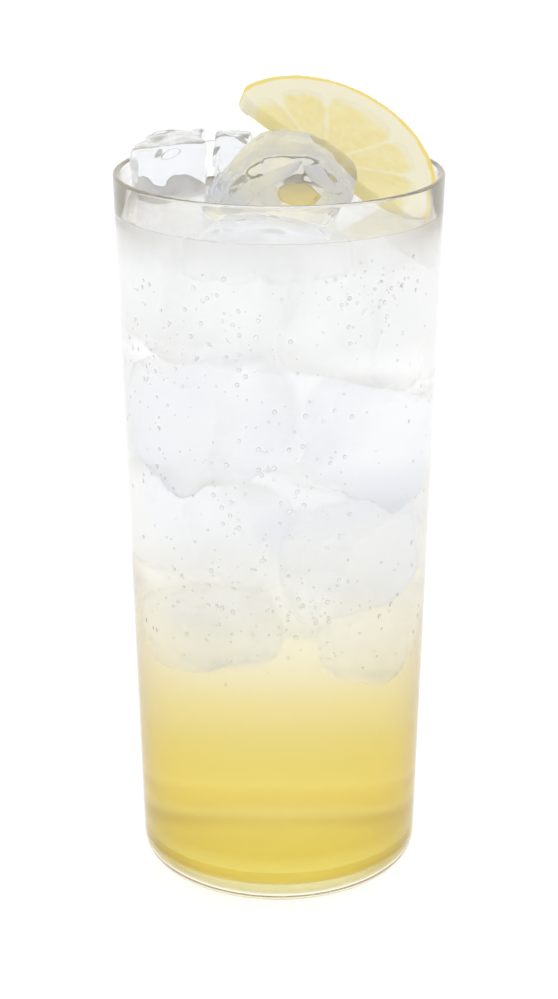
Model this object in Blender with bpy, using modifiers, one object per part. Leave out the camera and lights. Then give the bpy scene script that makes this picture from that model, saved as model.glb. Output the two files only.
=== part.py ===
"""Glass of lemonade: a tall tumbler, the drink in it, four lumps of ice that
stand out of the drink and a half slice of lemon. Metres, +Z up, origin at the
middle of the glass's underside."""

import math

import bmesh
import bpy
from mathutils import Matrix, Vector

MM = 0.001
GAP = 0.3 * MM              # clearance kept between pieces that rest on each other
MERGE = 0.001 * MM          # merge distance of the turned shapes

# Glass
GLASS_HEIGHT = 164.0 * MM
RIM_RADIUS = 36.25 * MM
FOOT_RADIUS = 31.8 * MM     # where the cone of the wall would meet the table
WALL = 1.3 * MM
FLOOR = 5.0 * MM
HEEL = 6.0 * MM             # outer rounding between the wall and the underside
INNER_HEEL = 5.0 * MM
TURN_STEPS = 72
SLOPE = (RIM_RADIUS - FOOT_RADIUS) / GLASS_HEIGHT

# Drink
DRINK_LEVEL = 155.4 * MM

# Domed lump of ice in the middle, a flat-bottomed half round
DOME_CENTRE = Vector((1.5, -8.3, 157.6)) * MM
DOME_BACK_RADIUS = 18.1 * MM
DOME_FRONT_RADIUS = 14.2 * MM
DOME_DEPTH = 12.0 * MM
DOME_BELOW = 10.6 * MM      # from its centre down to the flat underside
DOME_TURN = math.radians(3.0)
DOME_SIDES = 40
DOME_CHIPS = (              # planes broken off it: normal, and distance from its centre in mm
    ((-0.72, 0.0, 0.69), 15.7),
    ((0.80, 0.0, -0.60), 9.4),
)

# Lemon slice, a little less than half of a wheel
SLICE_CENTRE = Vector((10.1, -4.8, 166.7)) * MM
SLICE_YAW = math.radians(27.8)
SLICE_TIP = math.radians(38.0)       # how far its face is tipped up from level
SLICE_ROLL = math.radians(-57.8)
SLICE_RADIUS = 25.5 * MM
SLICE_THICKNESS = 4.8 * MM
SLICE_CUT = 1.5 * MM        # straight cut, this far from the wheel's middle
SLICE_EDGE = 0.6 * MM
SLICE_CORNER = 3.0 * MM      # rounding of the two tips, seen on the face
PEEL = 4.6 * MM             # rind and pith together
MEMBRANE = 1.0 * MM
FLESH_SINK = 0.4 * MM
SEGMENT_ENDS = (-12.0, 38.0, 70.0, 124.0, 160.0, 192.0)   # degrees round the wheel
SLICE_ARC_STEP = math.radians(5.0)

COLOURS = {
    "glass": (0.93, 0.95, 0.95, 1.0),
    "drink": (0.86, 0.70, 0.22, 1.0),
    "ice": (0.90, 0.93, 0.96, 1.0),
    "lemon": (0.88, 0.74, 0.22, 1.0),
}


def clear_scene():
    for old in list(bpy.data.objects):
        bpy.data.objects.remove(old, do_unlink=True)


def new_collection(name):
    made = bpy.data.collections.new(name)
    bpy.context.scene.collection.children.link(made)
    return made


def principled(name, colour, roughness, transmission):
    material = bpy.data.materials.new(name)
    material.use_nodes = True
    shader = material.node_tree.nodes["Principled BSDF"]
    shader.inputs["Base Color"].default_value = colour
    shader.inputs["Roughness"].default_value = roughness
    shader.inputs["Metallic"].default_value = 0.0
    shader.inputs["Transmission Weight"].default_value = transmission
    return material


def place(bm, name, collection):
    """Put the bmesh into a new named object of a collection."""
    mesh = bpy.data.meshes.new(name)
    bmesh.ops.recalc_face_normals(bm, faces=bm.faces)
    bm.to_mesh(mesh)
    bm.free()
    made = bpy.data.objects.new(name, mesh)
    collection.objects.link(made)
    return made


def outer_radius(z):
    return FOOT_RADIUS + SLOPE * z


def inner_radius(z):
    return outer_radius(z) - WALL


def arc(centre_r, centre_z, radius, start, end, steps):
    """Points (r, z) along an arc, angles in degrees from the outward direction."""
    points = []
    for i in range(steps + 1):
        a = math.radians(start + (end - start) * i / steps)
        points.append((centre_r + radius * math.cos(a), centre_z + radius * math.sin(a)))
    return points


def turned(name, profile, collection):
    """Turn a profile of (r, z) points about Z."""
    bm = bmesh.new()
    verts = [bm.verts.new((r, 0.0, z)) for r, z in profile]
    for a, b in zip(verts, verts[1:]):
        bm.edges.new((a, b))
    mesh = bpy.data.meshes.new(name)
    bm.to_mesh(mesh)
    bm.free()
    made = bpy.data.objects.new(name, mesh)
    collection.objects.link(made)
    screw = made.modifiers.new("turn", "SCREW")
    screw.steps = TURN_STEPS
    screw.render_steps = TURN_STEPS
    screw.use_merge_vertices = True
    screw.merge_threshold = MERGE
    screw.use_smooth_shade = True
    return made


def heel_arc(radius, base, wall_radius, steps):
    """The rounding that leads from a wall down to a flat base."""
    return arc(wall_radius(base + radius) - radius, base + radius, radius, 0.0, -90.0, steps)


def make_glass(collection):
    lip = 0.5 * WALL
    rim_z = GLASS_HEIGHT - lip
    inside = [(0.0, FLOOR)]
    inside += list(reversed(heel_arc(INNER_HEEL, FLOOR, inner_radius, 6)))
    lip_arc = arc(outer_radius(rim_z) - lip, rim_z, lip, 180.0, 0.0, 8)
    outside = heel_arc(HEEL, 0.0, outer_radius, 8)
    return turned("glass", inside + lip_arc + outside + [(0.0, 0.0)], collection)


def make_drink(collection):
    def wet_radius(z):
        return inner_radius(z) - GAP

    base = FLOOR + GAP
    profile = [(0.0, DRINK_LEVEL), (wet_radius(DRINK_LEVEL), DRINK_LEVEL)]
    profile += heel_arc(INNER_HEEL, base, wet_radius, 6)
    return turned("drink", profile + [(0.0, base)], collection)


def chip(bm, normal, distance):
    """Break off what lies beyond a plane, and close the break."""
    normal = Vector(normal).normalized()
    whole = bm.verts[:] + bm.edges[:] + bm.faces[:]
    cut = bmesh.ops.bisect_plane(bm, geom=whole, dist=MERGE, plane_co=normal * distance,
                                 plane_no=normal, clear_outer=True)
    rim = [item for item in cut["geom_cut"] if isinstance(item, bmesh.types.BMEdge)]
    bmesh.ops.contextual_create(bm, geom=rim)


def ice_lump(name, collection, middle, size, turn, chips, soft, grow=0.0):
    """A broken block: size along its own axes, chips as planes from its middle, in mm."""
    bm = bmesh.new()
    bmesh.ops.create_cube(bm, size=1.0)
    bmesh.ops.scale(bm, vec=Vector(size) * MM + Vector((2 * grow, 2 * grow, 2 * grow)), verts=bm.verts)
    for normal, distance in chips:
        chip(bm, normal, distance * MM + grow)
    made = place(bm, name, collection)
    made.location = Vector(middle) * MM
    made.rotation_euler = (0.0, 0.0, math.radians(turn))
    round_edges(made, soft * MM + 0.5 * grow, 3)
    return made


def round_edges(made, width, segments):
    bevel = made.modifiers.new("soft_edges", "BEVEL")
    bevel.width = width
    bevel.segments = segments
    bevel.limit_method = "ANGLE"
    bevel.angle_limit = math.radians(25.0)


def ice_dome(name, collection, grow=0.0):
    """A half-round lump lying on its side, smaller towards the front."""
    depth = DOME_DEPTH + 2 * grow
    bm = bmesh.new()
    bmesh.ops.create_cone(bm, cap_ends=True, segments=DOME_SIDES,
                          radius1=DOME_FRONT_RADIUS + grow, radius2=DOME_BACK_RADIUS + grow, depth=depth)
    bmesh.ops.rotate(bm, cent=(0.0, 0.0, 0.0), verts=bm.verts,
                     matrix=Matrix.Rotation(math.radians(-90.0), 3, "X"))
    chip(bm, (0.0, 0.0, -1.0), DOME_BELOW + grow)
    for normal, distance in DOME_CHIPS:
        chip(bm, normal, distance * MM + grow)
    made = place(bm, name, collection)
    made.location = DOME_CENTRE + Vector((0.0, -0.5 * DOME_DEPTH, 0.0))
    made.rotation_euler = (0.0, 0.0, DOME_TURN)
    round_edges(made, 1.3 * MM + 0.5 * grow, 3)
    return made


def slice_matrix():
    turn = Matrix.Rotation(SLICE_YAW, 4, "Z") @ Matrix.Rotation(SLICE_TIP, 4, "X")
    return Matrix.Translation(SLICE_CENTRE) @ turn @ Matrix.Rotation(SLICE_ROLL, 4, "Z")


def plate(name, outline, z_from, z_to, collection):
    """A flat plate in the slice's own plane, from an outline curve."""
    curve = bpy.data.curves.new(name + "_outline", "CURVE")
    curve.dimensions = "2D"
    curve.fill_mode = "BOTH"
    curve.extrude = 0.5 * (z_to - z_from)
    spline = curve.splines.new("POLY")
    spline.points.add(len(outline) - 1)
    for point, (x, y) in zip(spline.points, outline):
        point.co = (x, y, 0.0, 1.0)
    spline.use_cyclic_u = True
    draft = bpy.data.objects.new(name + "_draft", curve)
    collection.objects.link(draft)
    graph = bpy.context.evaluated_depsgraph_get()
    mesh = bpy.data.meshes.new_from_object(draft.evaluated_get(graph))
    bpy.data.objects.remove(draft, do_unlink=True)
    bm = bmesh.new()
    bm.from_mesh(mesh)
    bmesh.ops.remove_doubles(bm, verts=bm.verts, dist=MERGE)
    bmesh.ops.translate(bm, vec=(0.0, 0.0, 0.5 * (z_to + z_from)), verts=bm.verts)
    return place(bm, name, collection)


def half_wheel(radius, cut, corner):
    """Outline of the slice: the arc above a straight cut, its two tips rounded."""
    corner_y = cut + corner
    first = math.asin(corner_y / (radius - corner))
    corner_x = (radius - corner) * math.cos(first)
    tip = arc(corner_x, corner_y, corner, -90.0, math.degrees(first), 5)
    count = round((math.pi - 2 * first) / SLICE_ARC_STEP)
    wheel = []
    for i in range(1, count):
        a = first + (math.pi - 2 * first) * i / count
        wheel.append((radius * math.cos(a), radius * math.sin(a)))
    other_tip = [(-x, y) for x, y in reversed(tip)]
    return tip + wheel + other_tip


def segment_outline(start, end):
    """One segment of flesh between two membranes, its outer corners rounded."""
    middle = math.radians(0.5 * (start + end))
    half = math.radians(0.5 * (end - start))
    outer = SLICE_RADIUS - PEEL
    tip = 0.5 * MEMBRANE / math.sin(half)
    half -= 0.5 * MEMBRANE / outer
    points = [(tip * math.cos(middle), tip * math.sin(middle))]
    steps = 10
    for i in range(steps + 1):
        t = 2.0 * i / steps - 1.0
        r = outer * (1.0 - 0.13 * abs(t) ** 6)
        a = middle + half * t
        points.append((r * math.cos(a), r * math.sin(a)))
    return points


def make_slice(collection, cutters):
    body = plate("lemon_slice", half_wheel(SLICE_RADIUS, SLICE_CUT, SLICE_CORNER),
                 -SLICE_THICKNESS, 0.0, collection)
    round_edges(body, SLICE_EDGE, 2)
    body.matrix_world = slice_matrix()
    for i, (start, end) in enumerate(zip(SEGMENT_ENDS, SEGMENT_ENDS[1:])):
        for side, z in (("front", 0.0), ("back", -SLICE_THICKNESS)):
            flesh = plate(f"flesh_{side}_{i}", segment_outline(start, end),
                          z - FLESH_SINK, z + FLESH_SINK, cutters)
            flesh.matrix_world = slice_matrix()
            cut_out(body, flesh)
    return body


def slice_room(cutters):
    """The slice's shape with clearance all round."""
    room = plate("room_lemon_slice", half_wheel(SLICE_RADIUS + GAP, SLICE_CUT - GAP, SLICE_CORNER + GAP),
                 -SLICE_THICKNESS - GAP, GAP, cutters)
    room.matrix_world = slice_matrix()
    return room


def cut_out(body, cutter, solver="EXACT"):
    cutter.hide_render = True
    cutter.display_type = "WIRE"
    cut = body.modifiers.new("cut_" + cutter.name, "BOOLEAN")
    cut.operation = "DIFFERENCE"
    cut.solver = solver
    cut.object = cutter


# Blocks of ice: middle, size, turn about Z and the chips broken off
ICE_LUMPS = {
    "ice_left": {
        "middle": (-24.3, 3.2, 158.4),
        "size": (17.2, 17.0, 26.0),
        "turn": 4.0,
        "soft": 1.2,
        "chips": (
            ((-0.74, -0.67, 0.0), 8.2),
            ((-0.80, 0.60, 0.0), 8.3),
            ((-0.60, 0.0, 0.80), 12.9),
            ((-0.14, -0.04, 0.99), 12.5),
        ),
    },
    "ice_back": {
        "middle": (-10.0, 8.6, 159.0),
        "size": (8.6, 9.6, 24.0),
        "turn": -8.0,
        "soft": 1.0,
        "chips": (
            ((0.55, -0.30, 0.78), 11.2),
            ((-0.4, -0.6, 0.4), 8.6),
        ),
    },
    "ice_front": {
        "middle": (-2.5, -27.0, 152.4),
        "size": (35.0, 9.6, 13.0),
        "turn": -1.5,
        "soft": 1.0,
        "chips": (
            ((-0.55, -0.83, 0.0), 9.0),
            ((0.50, -0.87, 0.0), 8.2),
            ((0.30, 0.0, 0.95), 7.3),
            ((-0.45, 0.15, 0.85), 10.2),
        ),
    },
}


def make_object():
    clear_scene()
    parts = new_collection("glass_of_lemonade")
    cutters = new_collection("cutters")

    glass = make_glass(parts)
    drink = make_drink(parts)
    ice = [ice_dome("ice_middle", parts)]
    rooms = [ice_dome("room_ice_middle", cutters, GAP)]
    for name, shape in ICE_LUMPS.items():
        ice.append(ice_lump(name, parts, **shape))
        rooms.append(ice_lump("room_" + name, cutters, grow=GAP, **shape))
    lemon = make_slice(parts, cutters)
    rooms.append(slice_room(cutters))
    # The pocket of the slice runs out very close to the drink's side, where EXACT
    # leaves edges open.
    for room in rooms:
        cut_out(drink, room, "MANIFOLD")

    looks = (
        ("clear_glass", COLOURS["glass"], 0.02, 0.95, [glass]),
        ("lemonade", COLOURS["drink"], 0.10, 0.60, [drink]),
        ("ice", COLOURS["ice"], 0.08, 0.85, ice),
        ("lemon", COLOURS["lemon"], 0.45, 0.0, [lemon]),
    )
    for name, colour, roughness, transmission, pieces in looks:
        material = principled(name, colour, roughness, transmission)
        for piece in pieces:
            piece.data.materials.clear()
            piece.data.materials.append(material)


make_object()
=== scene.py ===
"""Looks of the glass of lemonade: wall, drink, ice, bubbles and lemon slice."""

import math
import random

import bpy
import numpy as np
from mathutils import Matrix, Vector, noise


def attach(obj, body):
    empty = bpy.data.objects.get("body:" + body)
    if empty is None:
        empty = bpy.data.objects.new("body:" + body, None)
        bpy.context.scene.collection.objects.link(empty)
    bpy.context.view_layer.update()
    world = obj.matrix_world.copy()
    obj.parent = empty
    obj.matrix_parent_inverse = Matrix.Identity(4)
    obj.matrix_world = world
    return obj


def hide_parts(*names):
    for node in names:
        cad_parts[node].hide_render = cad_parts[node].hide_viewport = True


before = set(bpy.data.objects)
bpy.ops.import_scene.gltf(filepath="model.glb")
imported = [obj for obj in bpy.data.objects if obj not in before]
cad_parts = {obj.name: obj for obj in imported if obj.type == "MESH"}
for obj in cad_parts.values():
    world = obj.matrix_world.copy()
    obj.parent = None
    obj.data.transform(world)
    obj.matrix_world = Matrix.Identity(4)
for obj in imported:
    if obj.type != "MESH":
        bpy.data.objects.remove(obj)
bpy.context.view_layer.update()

MM = 0.001
RIM_RADIUS = 36.25 * MM
FOOT_RADIUS = 31.8 * MM
HEIGHT = 164.0 * MM
WALL = 1.3 * MM
FLOOR = 5.0 * MM
HEEL = 6.0 * MM
INNER_HEEL = 5.0 * MM
LEVEL = 155.4 * MM
SLOPE = (RIM_RADIUS - FOOT_RADIUS) / HEIGHT
INTO_WALL = 0.25 * MM
MENISCUS_RISE = 0.45 * MM
MENISCUS_WIDTH = 2.2 * MM
SURFACE_STEP = 0.4 * MM
TURN = 192

# how strongly each bends light
WATER = 1.33
ICE = 1.31
GLASS = 1.5

SLICE_CENTRE = Vector((10.1, -4.8, 166.7)) * MM
SLICE_YAW = math.radians(27.8)
SLICE_TIP = math.radians(38.0)
SLICE_ROLL = math.radians(-57.8)

# on the slice, in degrees and millimetres
SEGMENT_ENDS = (-12.0, 38.0, 70.0, 124.0, 160.0, 192.0)
FLESH_RADIUS = 19.6
RIND_FROM, RIND_FULL = 24.0, 24.5

# tries and millimetres, with the depth in metres
BUBBLE_TRIES = 620
CLUSTERED_TRIES = 400
SMALLEST_BUBBLE = 0.19
BUBBLE_SPREAD = 0.38
BUBBLE_DEPTH = 0.30 * MM


# Materials

def material(name, **values):
    """A new material, its node tree and its shader; values are sockets, with _ for a space."""
    made = bpy.data.materials.new(name)
    made.use_nodes = True
    shader = made.node_tree.nodes["Principled BSDF"]
    for key, value in values.items():
        shader.inputs[key.replace("_", " ")].default_value = value
    return made, made.node_tree, shader


def clear(name, colour, ior, roughness, spread=0.0, grain=60.0, clearness=1.0):
    """Clear stuff; spread is how much deeper its tone is in patches, grain how fine they are."""
    made, tree, shader = material(name)
    shader.inputs["Base Color"].default_value = (*colour, 1.0)
    shader.inputs["Transmission Weight"].default_value = clearness
    shader.inputs["IOR"].default_value = ior
    shader.inputs["Roughness"].default_value = roughness
    if spread:
        patches(tree, shader, grain, tuple(c * (1.0 - spread) for c in colour), colour)
    return made


def patches(tree, shader, grain, low, high):
    """Base colour that drifts between two tones."""
    place = tree.nodes.new("ShaderNodeTexCoord")
    cloud = tree.nodes.new("ShaderNodeTexNoise")
    cloud.inputs["Scale"].default_value = grain
    cloud.inputs["Detail"].default_value = 2.0
    tone = ramp(tree, [(0.38, low), (0.62, high)])
    tree.links.new(place.outputs["Object"], cloud.inputs["Vector"])
    tree.links.new(cloud.outputs["Fac"], tone.inputs["Fac"])
    tree.links.new(tone.outputs["Color"], shader.inputs["Base Color"])


def ramp(tree, stops):
    """A colour ramp through (place, colour) stops."""
    node = tree.nodes.new("ShaderNodeValToRGB")
    items = node.color_ramp.elements
    while len(items) < len(stops):
        items.new(0.5)
    for item, (at, colour) in zip(items, stops):
        item.position = at
        item.color = (*colour, 1.0)
    return node


def height_ramp(tree, top, stops):
    """Colour by height above the foot, from 0 to top in metres."""
    place = tree.nodes.new("ShaderNodeTexCoord")
    split = tree.nodes.new("ShaderNodeSeparateXYZ")
    span = tree.nodes.new("ShaderNodeMapRange")
    span.inputs["From Max"].default_value = top
    colours = ramp(tree, [(z * MM / top, c) for z, c in stops])
    tree.links.new(place.outputs["Object"], split.inputs[0])
    tree.links.new(split.outputs["Z"], span.inputs["Value"])
    tree.links.new(span.outputs["Result"], colours.inputs["Fac"])
    return colours


def lemonade():
    """Yellow at the foot and clear towards the top, and rough enough to blur the ice behind it."""
    made, tree, shader = material("lemonade")
    shader.inputs["Transmission Weight"].default_value = 1.0
    shader.inputs["IOR"].default_value = WATER
    shader.inputs["Roughness"].default_value = 0.25
    colours = height_ramp(tree, 160.0 * MM, [
        (8.0, (0.95, 0.84, 0.20)),
        (13.0, (0.785, 0.59, 0.048)),
        (22.5, (0.742, 0.553, 0.061)),
        (32.0, (0.782, 0.637, 0.178)),
        (41.0, (0.783, 0.700, 0.40)),
        (51.0, (0.85, 0.77, 0.52)),
        (61.0, (0.92, 0.89, 0.76)),
        (75.0, (0.975, 0.972, 0.95)),
        (100.0, (0.997, 0.998, 0.998)),
    ])
    tree.links.new(colours.outputs["Color"], shader.inputs["Base Color"])
    return made


# Shapes

def add(name, verts, faces, mat, smooth=True):
    """A mesh object from points and faces."""
    mesh = bpy.data.meshes.new(name)
    mesh.from_pydata([tuple(v) for v in verts], [], [tuple(f) for f in faces])
    mesh.update()
    if smooth:
        mesh.shade_smooth()
    made = bpy.data.objects.new(name, mesh)
    bpy.context.scene.collection.objects.link(made)
    mesh.materials.append(mat)
    return made


def turned(name, profile, mat):
    """A closed body turned about Z from points (r, z), which start and end on the axis."""
    verts = [(0.0, 0.0, profile[0][1]), (0.0, 0.0, profile[-1][1])]
    rings = profile[1:-1]
    for r, z in rings:
        for i in range(TURN):
            a = 2 * math.pi * i / TURN
            verts.append((r * math.cos(a), r * math.sin(a), z))
    faces = []
    for j in range(len(rings)):
        for i in range(TURN):
            k = (i + 1) % TURN
            a, b = 2 + j * TURN + i, 2 + j * TURN + k
            if j == 0:
                faces.append((0, a, b))
            if j == len(rings) - 1:
                faces.append((1, b, a))
            else:
                faces.append((a, a + TURN, b + TURN, b))
    return add(name, verts, faces, mat)


def arc(r0, z0, radius, start, end, steps):
    """Profile points on an arc, both ends included, angles in degrees."""
    points = []
    for i in range(steps + 1):
        a = math.radians(start + (end - start) * i / steps)
        points.append((r0 + radius * math.cos(a), z0 + radius * math.sin(a)))
    return points


def outer(z):
    return FOOT_RADIUS + SLOPE * z


def inner(z):
    return outer(z) - WALL


def straight(radius_of, z_from, z_to, steps):
    """Profile points between two heights, without the ends."""
    out = []
    for i in range(1, steps):
        z = z_from + (z_to - z_from) * i / steps
        out.append((radius_of(z), z))
    return out


def wall_glass():
    """Clear glass, a little deeper in tone where it is seen along its face."""
    plain = (0.998, 0.999, 0.999)
    made = clear("clear_glass", plain, GLASS, 0.0)
    tree = made.node_tree
    facing = tree.nodes.new("ShaderNodeLayerWeight")
    facing.inputs["Blend"].default_value = 0.35
    tone = ramp(tree, [(0.45, plain), (1.0, (0.982, 0.985, 0.983))])
    tree.links.new(facing.outputs["Facing"], tone.inputs["Fac"])
    tree.links.new(tone.outputs["Color"], tree.nodes["Principled BSDF"].inputs["Base Color"])
    return made


def make_wall():
    """The tumbler: inside, rounded rim, outside with its heel, and the flat foot."""
    lip = 0.5 * WALL
    rim_z = HEIGHT - lip
    inside = [(0.0, FLOOR), (0.5 * inner(0.0), FLOOR)]
    inside += list(reversed(arc(inner(FLOOR + INNER_HEEL) - INNER_HEEL, FLOOR + INNER_HEEL,
                                INNER_HEEL, 0.0, -90.0, 10)))
    inside += straight(inner, FLOOR + INNER_HEEL, rim_z, 12)
    top = arc(outer(rim_z) - lip, rim_z, lip, 180.0, 0.0, 12)
    outside = straight(outer, rim_z, HEEL, 12)
    outside += arc(outer(HEEL) - HEEL, HEEL, HEEL, 0.0, -90.0, 12)
    profile = inside + top + outside + [(0.5 * outer(0.0), 0.0), (0.0, 0.0)]
    wall = turned("glass_wall", profile, wall_glass())
    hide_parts("glass")
    return wall


def within(body, point):
    """Whether a point is inside a closed body."""
    found, near, normal, _ = body.closest_point_on_mesh(point)
    return found and (point - near).dot(normal) < 0.0


def make_drink(lumps):
    """The drink, reaching just into the wall. Inside a lump of ice its top doesn't bend light."""
    def wet(z):
        return inner(z) + INTO_WALL

    # flat in rings, then curving up to the wall, down the wall and round the inner heel
    edge = wet(LEVEL)
    rings = int((edge - MENISCUS_WIDTH - 0.3 * MM) / SURFACE_STEP)
    profile = [(SURFACE_STEP * i, LEVEL) for i in range(rings)]
    for i in range(9):
        t = i / 8
        profile.append((edge - MENISCUS_WIDTH * (1.0 - t), LEVEL + MENISCUS_RISE * t ** 3))
    profile += straight(wet, LEVEL + MENISCUS_RISE, FLOOR + INNER_HEEL, 12)
    profile += arc(wet(FLOOR + INNER_HEEL) - INNER_HEEL, FLOOR + INNER_HEEL - INTO_WALL,
                   INNER_HEEL, 0.0, -90.0, 10)
    profile += [(0.0, FLOOR - INTO_WALL)]
    drink = turned("lemonade", profile, lemonade())
    base, surface, inside_ice, heel = 1, 2, 3, 4
    drink.data.materials.append(clear("lemonade_floor", (0.999, 0.995, 0.72), WATER, 0.40, 0.01))
    drink.data.materials.append(clear("lemonade_surface", (0.999, 0.999, 0.999), WATER, 0.0, 0.004))
    drink.data.materials.append(clear("inside_ice", (1.0, 1.0, 1.0), 1.0, 0.0))
    drink.data.materials.append(clear("lemonade_heel", (0.79, 0.60, 0.055), WATER, 0.35, 0.01))
    for face in drink.data.polygons:
        if face.center.z < FLOOR + 0.8 * INNER_HEEL:
            face.material_index = base if face.normal.z < -0.99 else heel
        elif face.normal.z > 0.95:
            iced = any(within(lump, face.center) for lump in lumps)
            face.material_index = inside_ice if iced else surface
    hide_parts("drink")
    return drink


def push_out(mesh, lifts):
    """Moves every vertex along its normal by its own lift."""
    count = len(mesh.vertices)
    places = np.empty(count * 3, dtype=np.float32)
    mesh.vertices.foreach_get("co", places)
    normals = np.array([v.normal[:] for v in mesh.vertices])
    moved = places.reshape(-1, 3) + normals * np.asarray(lifts)[:, None]
    mesh.vertices.foreach_set("co", moved.astype(np.float32).ravel())
    mesh.update()


def apply_modifiers(body):
    """Makes what the modifiers give the body's own mesh."""
    graph = bpy.context.evaluated_depsgraph_get()
    mesh = bpy.data.meshes.new_from_object(body.evaluated_get(graph))
    body.modifiers.clear()
    body.data = mesh
    return mesh


def fine_copy(name, source, voxel, rounds):
    """A copy of a body in small even faces, its edges softened by some rounds of smoothing."""
    made = bpy.data.objects.new(name, source.data.copy())
    bpy.context.scene.collection.objects.link(made)
    remesh = made.modifiers.new("fine", "REMESH")
    remesh.mode = "VOXEL"
    remesh.voxel_size = voxel
    soften = made.modifiers.new("soft", "SMOOTH")
    soften.factor = 0.5
    soften.iterations = rounds
    return made, apply_modifiers(made)


def melted(name, source, voxel, wave, wave_size, mat, seed, facets=0):
    """A fine copy of a body, waved as melting ice is, or broken into soft facets."""
    made, mesh = fine_copy(name, source, voxel, 6)
    shift = Vector((seed * 3.1, seed * 1.7, seed * 0.9))
    lifts = []
    for v in mesh.vertices:
        p = v.co / wave_size + shift
        lifts.append(wave * (noise.noise(p) + 0.35 * noise.noise(p * 2.7) - 0.5))
    push_out(mesh, lifts)
    if facets:
        break_up = made.modifiers.new("facets", "DECIMATE")
        break_up.ratio = facets / len(mesh.polygons)
        rounded = made.modifiers.new("rounded", "SUBSURF")
        rounded.levels = rounded.render_levels = 3
        mesh = apply_modifiers(made)
    mesh.shade_smooth()
    mesh.materials.clear()
    mesh.materials.append(mat)
    return made


def cloudy_ice(name, clearness=0.76, ior=1.05, low=(0.93, 0.945, 0.985),
               high=(0.998, 0.999, 1.0)):
    """Ice as it looks inside the drink: white, soft and without a clear outline."""
    made, tree, shader = material(name)
    shader.inputs["Transmission Weight"].default_value = clearness
    shader.inputs["IOR"].default_value = ior
    shader.inputs["Roughness"].default_value = 0.45
    shader.inputs["Specular IOR Level"].default_value = 0.2
    patches(tree, shader, 48.0, low, high)
    return made


def make_ice():
    """The four lumps at the top, clear above the drink's level and cloudy below it."""
    ice = clear("clear_ice", (0.945, 0.96, 0.99), ICE, 0.09, 0.02, 120.0, 0.82)
    # the domed lump is painted in patches of grey shade and of the lemon as seen through it
    lit = clear("lemon_lit_ice", (0.92, 0.90, 0.82), 1.20, 0.08, clearness=0.90)
    grey, painted_lemon_light = (0.66, 0.665, 0.68), (0.88, 0.835, 0.64)
    patches(lit.node_tree, lit.node_tree.nodes["Principled BSDF"], 90.0, grey, painted_lemon_light)
    wet = cloudy_ice("wet_ice", 0.92, 1.03, (0.985, 0.99, 0.998))
    made = []
    for seed, node in enumerate(("ice_left", "ice_middle", "ice_back", "ice_front")):
        lump = melted(node + "_clear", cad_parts[node], 0.45 * MM, 0.9 * MM, 4.5 * MM,
                      lit if node == "ice_middle" else ice, seed + 1, 320)
        lump.data.materials.append(wet)
        for face in lump.data.polygons:
            if face.center.z < LEVEL:
                face.material_index = 1
        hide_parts(node)
        made.append(lump)
    return made


def make_frost():
    """White cracks in the domed lump, and a chip painted with the lemon as seen through the ice."""
    ball, ball_faces = icosphere(3)
    white = cloudy_ice("frost", 0.20, 1.06, (0.985, 0.99, 1.0))
    # the lemon as seen through the ice, painted onto a chip in yellow
    painted_lemon_chip = cloudy_ice("painted_lemon_glow", 0.60, 1.04, (0.91, 0.82, 0.49), (0.95, 0.87, 0.56))
    # middle, half sizes, lean in degrees, and 1 for the painted lemon-coloured one
    cracks = [
        ((-1.5, -13.5, 165.3), (6.2, 0.5, 1.5), 28.0, 0),
        ((9.0, -13.0, 164.8), (5.0, 0.5, 1.4), -40.0, 0),
        ((-7.6, -13.0, 161.6), (4.6, 0.5, 1.8), 44.0, 0),
        ((13.0, -12.0, 161.6), (2.2, 0.5, 2.6), -12.0, 0),
        ((-2.2, -12.5, 161.2), (2.0, 0.5, 3.2), 30.0, 0),
        ((4.2, -14.0, 161.6), (4.2, 0.6, 2.7), -12.0, 1),
    ]
    verts, faces, kinds = [], [], []
    for middle, size, lean, kind in cracks:
        turn = np.array(Matrix.Rotation(math.radians(-lean), 3, "Y"))
        bumps = [noise.noise(Vector(v) * 1.9 + Vector(middle)) for v in ball]
        crumple = np.array([1.0 + 0.28 * bump for bump in bumps])
        faces.append(ball_faces + len(verts) * len(ball))
        verts.append((ball * crumple[:, None] * size) @ turn.T * MM + np.array(middle) * MM)
        kinds += [kind] * len(ball_faces)
    made = add("frost", np.concatenate(verts), np.concatenate(faces).tolist(), white)
    made.data.materials.append(painted_lemon_chip)
    for face, kind in zip(made.data.polygons, kinds):
        face.material_index = kind
    return made


def block(name, middle, size, turn, mat, seed):
    """A melted block of ice in millimetres and degrees, kept clear of the wall."""
    bpy.ops.mesh.primitive_cube_add(size=1.0)
    draft = bpy.context.active_object
    draft.data.transform(Matrix.Diagonal((*(Vector(size) * MM), 1.0)))
    turned_by = Matrix.Rotation(math.radians(turn[2]), 4, "Z")
    turned_by = turned_by @ Matrix.Rotation(math.radians(turn[1]), 4, "Y")
    turned_by = turned_by @ Matrix.Rotation(math.radians(turn[0]), 4, "X")
    draft.data.transform(Matrix.Translation(Vector(middle) * MM) @ turned_by)
    bevel = draft.modifiers.new("round", "BEVEL")
    bevel.width = 6.0 * MM
    bevel.segments = 4
    apply_modifiers(draft)
    made = melted(name, draft, 0.9 * MM, 1.8 * MM, 8.0 * MM, mat, seed)
    for v in made.data.vertices:
        room = (inner(v.co.z) - 1.2 * MM) / max(v.co.xy.length, MM)
        if room < 1.0:
            v.co.x, v.co.y = v.co.x * room, v.co.y * room
    bpy.data.objects.remove(draft, do_unlink=True)
    return made


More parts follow.
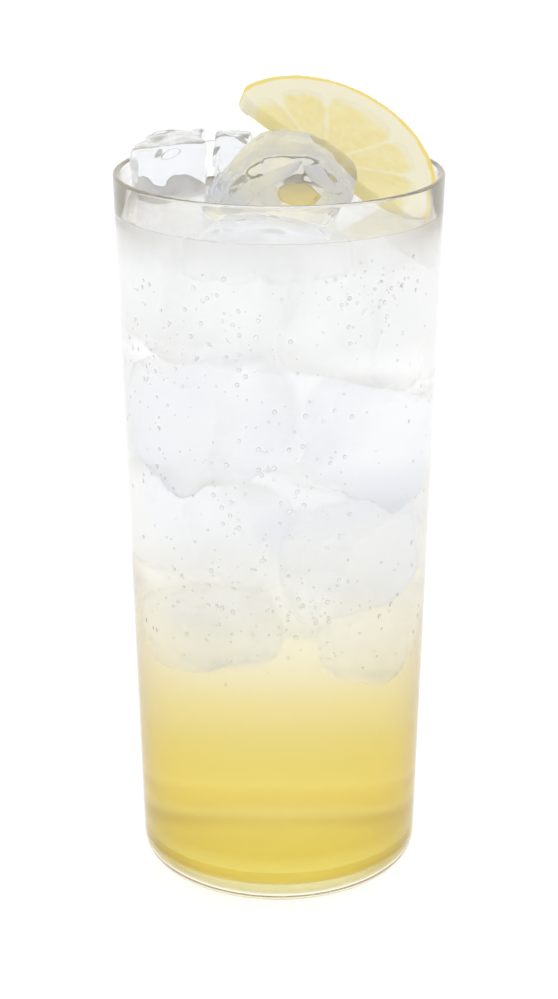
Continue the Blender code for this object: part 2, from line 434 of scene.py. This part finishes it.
def make_sunken():
    """The lumps wholly under the level, the top layer painted lighter for the light from above."""
    deep = cloudy_ice("sunken_ice")
    # a lighter copy of the sunken ice, painted light where more light falls from above
    high = cloudy_ice("painted_lit_top_ice", 0.70, 1.04, (0.982, 0.988, 0.998), (0.9995, 0.9998, 1.0))
    # middle, size and turn of each lump
    lumps = [
        ((-17.0, -5.0, 139.0), (32.0, 35.0, 24.0), (10.0, 14.0, 12.0)),
        ((17.0, -9.0, 135.0), (31.0, 33.0, 29.0), (-9.0, 12.0, -10.0)),
        ((0.0, 19.0, 134.0), (40.0, 22.0, 27.0), (6.0, -8.0, 4.0)),
        ((-14.0, -15.0, 114.0), (33.0, 27.0, 27.0), (12.0, -16.0, 20.0)),
        ((18.0, -9.0, 106.0), (29.0, 36.0, 27.0), (-10.0, 20.0, 8.0)),
        ((-7.0, 17.0, 107.0), (36.0, 26.0, 25.0), (5.0, -12.0, -12.0)),
        ((-16.0, -8.0, 86.0), (31.0, 34.0, 25.0), (-12.0, 17.0, 16.0)),
        ((14.0, -14.0, 81.0), (31.0, 27.0, 22.0), (14.0, -11.0, 8.0)),
        ((8.0, 17.0, 82.0), (33.0, 25.0, 25.0), (-6.0, 10.0, 10.0)),
        ((-13.0, -10.0, 63.0), (24.0, 27.0, 20.0), (-12.0, -9.0, 20.0)),
        ((17.0, -6.0, 60.0), (20.0, 27.0, 19.0), (12.0, 14.0, 5.0)),
        ((-1.0, 18.0, 63.0), (28.0, 20.0, 19.0), (4.0, 8.0, -6.0)),
    ]
    made = []
    for i, (middle, size, turn) in enumerate(lumps):
        lump = block(f"sunken_ice_{i}", middle, size, turn, high if i < 3 else deep, 11 + i)
        made.append(lump)
    return made


def icosphere(subdivisions):
    """Points and faces of a unit ball."""
    bpy.ops.mesh.primitive_ico_sphere_add(subdivisions=subdivisions, radius=1.0)
    ball = bpy.context.active_object
    verts = np.array([v.co for v in ball.data.vertices])
    faces = np.array([p.vertices[:] for p in ball.data.polygons])
    bpy.data.objects.remove(ball, do_unlink=True)
    return verts, faces


def make_bubbles():
    """Flat beads of gas on the inside of the wall, most of them in loose clusters."""
    rng = random.Random(7)
    ball, ball_faces = icosphere(2)
    verts, faces = [], []
    # angle and height of each cluster, and how far it spreads in both
    clusters = [(-0.25, 135.0, 0.32, 11.0), (0.0, 98.0, 0.36, 13.0), (-0.95, 126.0, 0.30, 13.0),
                (0.6, 145.0, 0.20, 5.0), (0.15, 74.0, 0.35, 8.0), (-0.4, 82.0, 0.40, 12.0)]
    for i in range(BUBBLE_TRIES):
        if i < CLUSTERED_TRIES:
            a0, z0, da, dz = clusters[i % len(clusters)]
            a = rng.gauss(a0, da)
            z = rng.gauss(z0, dz)
        else:
            a = rng.uniform(-1.6, 1.6) + (math.pi if i % 4 == 0 else 0.0)
            z = rng.uniform(60.0, 150.0)
        if not 55.0 < z < 151.0:
            continue
        size = (SMALLEST_BUBBLE + BUBBLE_SPREAD * rng.random() ** 2.0) * MM
        flat = min(size, BUBBLE_DEPTH)
        out = Vector((math.sin(a), -math.cos(a), -SLOPE)).normalized()
        side = out.cross(Vector((0.0, 0.0, 1.0))).normalized()
        up = side.cross(out)
        axes = np.array([side[:], out[:], up[:]])
        r = inner(z * MM) + INTO_WALL + flat + 0.05 * MM
        centre = np.array((r * math.sin(a), -r * math.cos(a), z * MM))
        faces.append(ball_faces + len(verts) * len(ball))
        verts.append((ball * (size, flat, size)) @ axes + centre)
    # the grey tint is painted shade, for the dark look that bent light gives each bead
    mat = clear("bubble", (0.93, 0.935, 0.95), 1.20, 0.05, 0.03, 200.0)
    made = add("bubbles", np.concatenate(verts), np.concatenate(faces).tolist(), mat)
    return made


# Lemon slice

def slice_matrix():
    """The slice's own frame: its cut face is the XY plane, its centre the origin."""
    turn = Matrix.Rotation(SLICE_YAW, 4, "Z") @ Matrix.Rotation(SLICE_TIP, 4, "X")
    return Matrix.Translation(SLICE_CENTRE) @ turn @ Matrix.Rotation(SLICE_ROLL, 4, "Z")


def segment_place(angle):
    """Radians from the nearest membrane, and the index of the segment."""
    for i, (a, b) in enumerate(zip(SEGMENT_ENDS, SEGMENT_ENDS[1:])):
        if a <= angle <= b:
            return math.radians(min(angle - a, b - angle)), i
    return 0.0, -1


def lemon_material():
    """Pith, flesh where "flesh" is 1, and rind where "rind" is 1."""
    made, tree, shader = material("lemon")
    shader.inputs["Roughness"].default_value = 0.45
    shader.inputs["Subsurface Weight"].default_value = 0.35
    shader.inputs["Subsurface Radius"].default_value = (1.0, 0.9, 0.5)
    shader.inputs["Subsurface Scale"].default_value = 0.0025
    shader.inputs["Specular IOR Level"].default_value = 0.45
    flesh = tree.nodes.new("ShaderNodeAttribute")
    flesh.attribute_name = "flesh"
    rind = tree.nodes.new("ShaderNodeAttribute")
    rind.attribute_name = "rind"
    cell = tree.nodes.new("ShaderNodeAttribute")
    cell.attribute_name = "cell"
    pulp = ramp(tree, [(0.0, (0.865, 0.785, 0.435)), (1.0, (0.825, 0.71, 0.305))])
    body = tree.nodes.new("ShaderNodeMix")
    body.data_type = "RGBA"
    body.inputs["A"].default_value = (0.865, 0.82, 0.62, 1.0)
    skin = tree.nodes.new("ShaderNodeMix")
    skin.data_type = "RGBA"
    skin.inputs["B"].default_value = (0.84, 0.68, 0.20, 1.0)
    tree.links.new(cell.outputs["Fac"], pulp.inputs["Fac"])
    tree.links.new(flesh.outputs["Fac"], body.inputs["Factor"])
    tree.links.new(pulp.outputs["Color"], body.inputs["B"])
    tree.links.new(body.outputs["Result"], skin.inputs["A"])
    tree.links.new(rind.outputs["Fac"], skin.inputs["Factor"])
    tree.links.new(skin.outputs["Result"], shader.inputs["Base Color"])
    return made


def smooth_step(lo, hi, x):
    """0 below lo, 1 above hi, and a smooth rise between."""
    t = min(1.0, max(0.0, (x - lo) / (hi - lo)))
    return t * t * (3.0 - 2.0 * t)


def make_slice():
    """The lemon slice with its juice sacs, membranes and rind."""
    made, mesh = fine_copy("lemon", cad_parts["lemon_slice"], 0.32 * MM, 3)
    back = slice_matrix().inverted()
    count = len(mesh.vertices)
    flesh = np.zeros(count)
    rind = np.zeros(count)
    cell = np.zeros(count)
    lifts = np.zeros(count)
    axis = slice_matrix().to_3x3() @ Vector((0.0, 0.0, 1.0))
    for i, v in enumerate(mesh.vertices):
        p = back @ v.co
        x, y, z = p / MM
        r = math.hypot(x, y)
        angle = math.degrees(math.atan2(y, x))
        if angle < -90.0:
            angle += 360.0
        wobble = noise.noise(Vector((x, y, z)) * 0.35)
        facing = abs(v.normal.dot(axis))
        off, which = segment_place(angle)
        across = off * r
        edge = FLESH_RADIUS + 1.0 * wobble - 3.0 * max(0.0, 1.0 - across / 3.4) ** 2
        membrane = 0.62 + 0.38 * smooth_step(0.1, 1.1, across + 0.3 * wobble)
        inside = membrane * smooth_step(-1.1, 1.1, edge - r)
        inside *= smooth_step(1.0, 1.8, r)
        flesh[i] = inside
        rind[i] = smooth_step(RIND_FROM, RIND_FULL, r + 0.25 * wobble)
        turn = math.radians(angle)
        q = Vector((r * 0.32, turn * 9.0 + 0.2 * wobble, which * 7.3))
        distances, _ = noise.voronoi(q, distance_metric="DISTANCE", exponent=2.5)
        ridge = smooth_step(0.0, 0.35, distances[1] - distances[0])
        sac = noise.cell(Vector((r * 0.5, turn * 11.0, which)))
        cell[i] = 0.35 + 0.65 * sac * 0.4 + 0.3 * wobble
        lift = 0.0
        if facing > 0.5:
            lift += inside * (0.09 * ridge - 0.02)
            lift -= 0.10 * rind[i]
        if rind[i] > 0.5:
            lift += 0.05 * noise.noise(Vector((x, y, z)) * 1.6)
        lifts[i] = lift * MM
    push_out(mesh, lifts)
    for name, values in (("flesh", flesh), ("rind", rind), ("cell", np.clip(cell, 0.0, 1.0))):
        layer = mesh.attributes.new(name, "FLOAT", "POINT")
        layer.data.foreach_set("value", values.astype(np.float32))
    mesh.shade_smooth()
    mesh.materials.clear()
    mesh.materials.append(lemon_material())
    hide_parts("lemon_slice")
    return made


# Floor, light and camera

def make_floor():
    """A pale floor that stays white round the foot."""
    white = material("floor_white", Base_Color=(0.22, 0.22, 0.22, 1.0), Roughness=0.9,
                     Specular_IOR_Level=0.1, Emission_Color=(1.0, 1.0, 1.0, 1.0),
                     Emission_Strength=0.84)[0]
    low = -0.4 * MM
    corners = [(-8.0, -8.0, low), (8.0, -8.0, low), (8.0, 8.0, low), (-8.0, 8.0, low)]
    add("floor", corners, [(0, 1, 2, 3)], white, smooth=False)


def make_world():
    """Soft light from all round, a little dimmer from the front."""
    world = bpy.data.worlds.new("studio")
    bpy.context.scene.world = world
    world.use_nodes = True
    tree = world.node_tree
    place = tree.nodes.new("ShaderNodeTexCoord")
    split = tree.nodes.new("ShaderNodeSeparateXYZ")
    span = tree.nodes.new("ShaderNodeMapRange")
    span.inputs["From Min"].default_value = -1.0
    span.inputs["From Max"].default_value = 1.0
    colours = ramp(tree, [
        (0.0, (0.92, 0.925, 0.94)),
        (0.25, (0.95, 0.955, 0.965)),
        (0.5, (0.98, 0.98, 0.985)),
        (1.0, (1.0, 1.0, 1.0)),
    ])
    tree.links.new(place.outputs["Generated"], split.inputs[0])
    tree.links.new(split.outputs["Y"], span.inputs["Value"])
    tree.links.new(span.outputs["Result"], colours.inputs["Fac"])
    back = tree.nodes["Background"]
    tree.links.new(colours.outputs["Color"], back.inputs["Color"])
    back.inputs["Strength"].default_value = 1.04


def make_camera():
    """The photograph's view, from a little above the rim."""
    data = bpy.data.cameras.new("camera")
    camera = bpy.data.objects.new("camera", data)
    bpy.context.scene.collection.objects.link(camera)
    camera.location = (0.0, -0.5354, 0.2776)
    aim = Vector((0.0, 0.0, 0.087756)) - camera.location
    camera.rotation_euler = aim.to_track_quat("-Z", "Y").to_euler()
    data.lens = 89.76
    data.sensor_width = 36.0
    data.clip_start = 0.01
    bpy.context.scene.camera = camera


floating = make_ice()
pieces = [make_wall(), make_drink(floating), make_bubbles(), make_slice(), make_frost()]
pieces += floating
pieces += make_sunken()
for piece in pieces:
    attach(piece, "root")

make_floor()
make_world()
make_camera()

scene = bpy.context.scene
scene.view_settings.view_transform = "Standard"
# light crosses many clear surfaces here, and a path cut short would look grey
CLEAR_BOUNCES = 400
scene.cycles.max_bounces = CLEAR_BOUNCES
scene.cycles.transmission_bounces = CLEAR_BOUNCES
scene.cycles.glossy_bounces = CLEAR_BOUNCES
scene.cycles.diffuse_bounces = 100
scene.cycles.blur_glossy = 0.0
